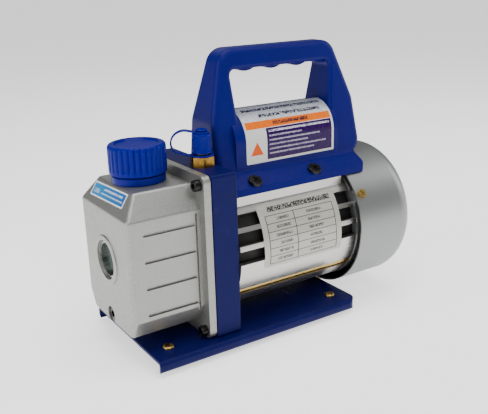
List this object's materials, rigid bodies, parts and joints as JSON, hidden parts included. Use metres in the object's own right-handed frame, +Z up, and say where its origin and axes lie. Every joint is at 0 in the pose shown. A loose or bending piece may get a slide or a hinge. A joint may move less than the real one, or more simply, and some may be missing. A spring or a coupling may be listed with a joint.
{
  "type": "rotary vane vacuum pump",
  "caption": "Single-stage rotary vane vacuum pump: cast oil case with sight glass, finned motor, fan cover, ribbed cap, brass intake and carrying handle on a folded base plate.",
  "frame": {"origin": "on the ground under the centre of the pump, at the soles of the rubber feet", "axes": "+X from the oil case to the fan cover along the motor axis, +Z up, +Y to the side away from the rating label"},
  "size_m": [0.26, 0.119, 0.2217],
  "materials": {
    "blue_paint": "satin powder coat",
    "cast_paint": "sand textured silver paint",
    "cover_paint": "smooth silver paint",
    "aluminium": "bright extrusion",
    "handle_plastic": "fine textured moulding",
    "cap_plastic": "glossy moulding",
    "brass": "turned",
    "black_steel": "black oxide",
    "zinc_steel": "yellow zinc",
    "steel": "machined",
    "iron": "machined casting",
    "rubber": "moulded",
    "glass": "clear",
    "black_plastic": "moulded",
    "copper": "enamelled copper wire",
    "mesh": "woven mesh",
    "carbon": "carbon"
  },
  "bodies": {
    "housing": {"base_plate": "blue_paint", "bracket_bolts": "steel", "bracket_housing": "blue_paint", "cap_strap": "cap_plastic", "capacitor": "black_plastic", "case_bolts": "black_steel", "case_gasket": "rubber", "cover_screws": "zinc_steel", "end_shield": "aluminium", "exhaust_filter": "mesh", "fan_cover": "cover_paint", "filler_neck": "cap_plastic", "foot_nuts": "steel", "foot_screws": "zinc_steel", "front_bearing": "steel", "handle": "handle_plastic", "handle_screws": "black_steel", "inlet_pins": "brass", "intake_fitting": "brass", "intake_screen": "mesh", "motor_shell": "aluminium", "oil_case": "cast_paint", "power_inlet": "black_plastic", "pump_bolts": "black_steel", "pump_cylinder": "iron", "pump_end_plate": "iron", "rear_bearing": "steel", "reed_screws": "steel", "reed_stop": "steel", "rubber_feet": "rubber", "shaft_seal": "rubber", "sight_glass": "glass", "sight_glass_ring": "steel", "sight_glass_seal": "rubber", "stator_core": "steel", "stator_windings": "copper", "switch_body": "black_plastic", "tie_rod_nuts": "steel", "tie_rods": "zinc_steel"},
    "rotor": {"pump_rotor": "steel", "motor_shaft": "steel", "motor_rotor": "steel", "cooling_fan": "black_plastic", "fan_clip": "steel", "vane_springs": "steel"},
    "vane_near": {"vane_near": "carbon"},
    "vane_far": {"vane_far": "carbon"},
    "reed": {"exhaust_reed": "steel"},
    "cap_seal": {"exhaust_cap_seal": "rubber"},
    "filler_cap": {"exhaust_cap": "cap_plastic"},
    "drain_seal": {"drain_plug_seal": "rubber"},
    "drain": {"drain_plug": "black_steel"},
    "intake_cap": {"intake_cap": "cap_plastic"},
    "rocker": {"switch_rocker": "black_plastic"}
  },
  "joints": [
    {"name": "rotor_spin", "type": "hinge", "parent": "housing", "child": "rotor", "pos_m": [0, 0, 0.0712], "axis": [1, 0, 0], "continuous": true},
    {"name": "vane_near_slide", "type": "slide", "parent": "rotor", "child": "vane_near", "axis": [0, -1, 0], "range_m": [0, 0.0031]},
    {"name": "vane_far_slide", "type": "slide", "parent": "rotor", "child": "vane_far", "axis": [0, 1, 0], "range_m": [0, 0.0031]},
    {"name": "reed_lift", "type": "hinge", "parent": "housing", "child": "reed", "pos_m": [-0.072, 0, 0.0994], "axis": [0, 1, 0], "range_deg": [0, 6], "stiffness_Nm_per_rad": 0.004},
    {"name": "filler_cap_turn", "type": "hinge", "parent": "cap_seal", "child": "filler_cap", "pos_m": [-0.0984, 0, 0.1384], "axis": [0, 0, 1], "range_deg": [0, 1080]},
    {"name": "filler_cap_lift", "type": "slide", "parent": "housing", "child": "cap_seal", "axis": [0, 0, 1], "range_m": [0, 0.0091]},
    {"name": "drain_turn", "type": "hinge", "parent": "drain_seal", "child": "drain", "pos_m": [-0.129, 0, 0.0315], "axis": [-1, 0, 0], "range_deg": [0, 1800]},
    {"name": "drain_out", "type": "slide", "parent": "housing", "child": "drain_seal", "axis": [-1, 0, 0], "range_m": [0, 0.0063]},
    {"name": "intake_cap_lift", "type": "slide", "parent": "housing", "child": "intake_cap", "axis": [0, 0, 1], "range_m": [0, 0.011], "deforming": ["cap_strap"]},
    {"name": "power_rocker", "type": "hinge", "parent": "housing", "child": "rocker", "pos_m": [0.0938, 0, 0.1618], "axis": [0, -1, 0], "range_deg": [0, 16]}
  ],
  "couplings": [
    {"joint": "filler_cap_lift", "follows": "filler_cap_turn", "m_per_rad": 0.00047746},
    {"joint": "drain_out", "follows": "drain_turn", "m_per_rad": 0.00019894}
  ]
}
